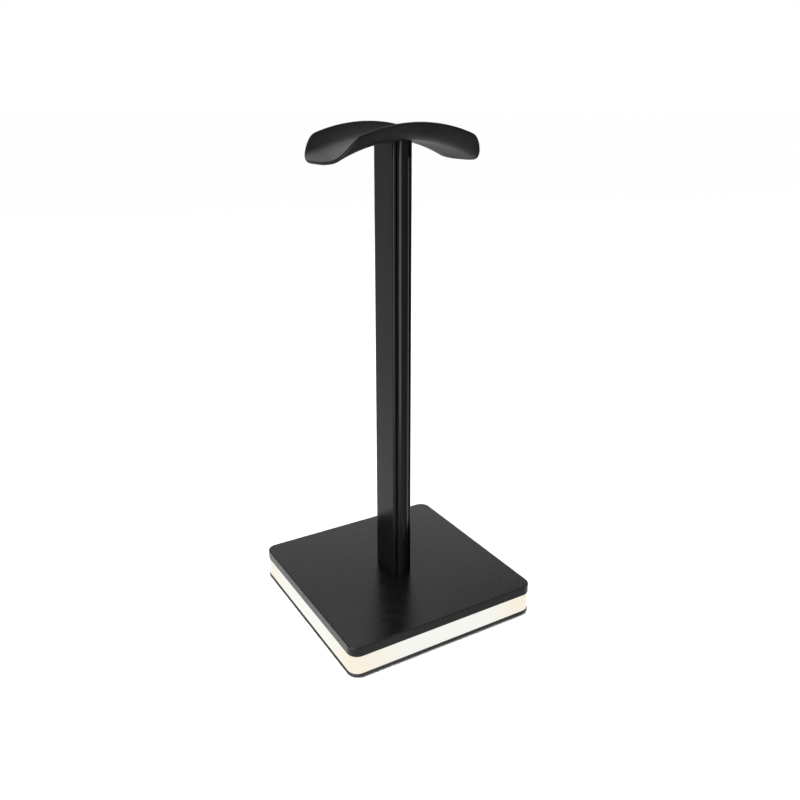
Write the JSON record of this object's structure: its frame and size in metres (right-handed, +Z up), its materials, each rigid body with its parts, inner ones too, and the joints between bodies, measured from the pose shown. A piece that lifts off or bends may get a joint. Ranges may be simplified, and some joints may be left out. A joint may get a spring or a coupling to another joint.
{
  "type": "headphone stand",
  "caption": "Desktop headphone stand with a square base that has a lit edge, a grooved flat post and an arched saddle with upturned rims.",
  "frame": {"origin": "middle of the footprint, on the surface the stand rests on", "axes": "+Z up the post, +X along the saddle's long axis, -Y the front, +Y the side with the socket and button"},
  "size_m": [0.105, 0.105, 0.248],
  "materials": {
    "powder_coat": "fine-textured matt black powder coat",
    "anodised_aluminium": "black anodised, brushed along its length",
    "saddle_coat": "satin black coat",
    "frosted_acrylic": "frosted, lit from behind",
    "black_plastic": "fine moulded texture",
    "rubber": "matt",
    "screw_steel": "zinc plated",
    "dark_screw": "black oxide",
    "circuit_board": "green solder mask",
    "led_strip": "white flexible circuit with moulded lamps",
    "chip_package": "moulded epoxy",
    "plunger_plastic": "natural nylon",
    "bare_steel": "plated stamped steel",
    "wire_jacket": "extruded jacket"
  },
  "bodies": {
    "stand": {"foot_front_left": "rubber", "foot_front_right": "rubber", "foot_rear_left": "rubber", "foot_rear_right": "rubber", "cover_screw_front_left": "screw_steel", "cover_screw_front_right": "screw_steel", "cover_screw_rear_left": "screw_steel", "cover_screw_rear_right": "screw_steel", "bottom_cover": "black_plastic", "light_guide": "frosted_acrylic", "led_strip": "led_strip", "top_plate": "powder_coat", "rear_panel": "black_plastic", "circuit_board": "circuit_board", "board_screw_left": "screw_steel", "board_screw_right": "screw_steel", "control_chip": "chip_package", "power_socket": "bare_steel", "tact_switch": "chip_package", "led_lead": "wire_jacket", "post_extrusion": "anodised_aluminium", "post_washer_front": "screw_steel", "post_washer_rear": "screw_steel", "post_screw_front": "screw_steel", "post_screw_rear": "screw_steel", "saddle_shell": "saddle_coat", "saddle_screw_front": "dark_screw", "saddle_screw_rear": "dark_screw"},
    "light_button": {"light_button": "black_plastic"},
    "switch_plunger": {"switch_plunger": "plunger_plastic"}
  },
  "joints": [
    {"name": "light_button_press", "type": "slide", "parent": "stand", "child": "light_button", "axis": [0, -1, 0], "range_m": [0, 0.0004], "stiffness_N_per_m": 300, "springref_m": -0.003},
    {"name": "switch_plunger_press", "type": "slide", "parent": "stand", "child": "switch_plunger", "axis": [0, -1, 0], "range_m": [0, 0.0004]}
  ],
  "couplings": [
    {"joint": "switch_plunger_press", "follows": "light_button_press", "ratio": 1}
  ]
}
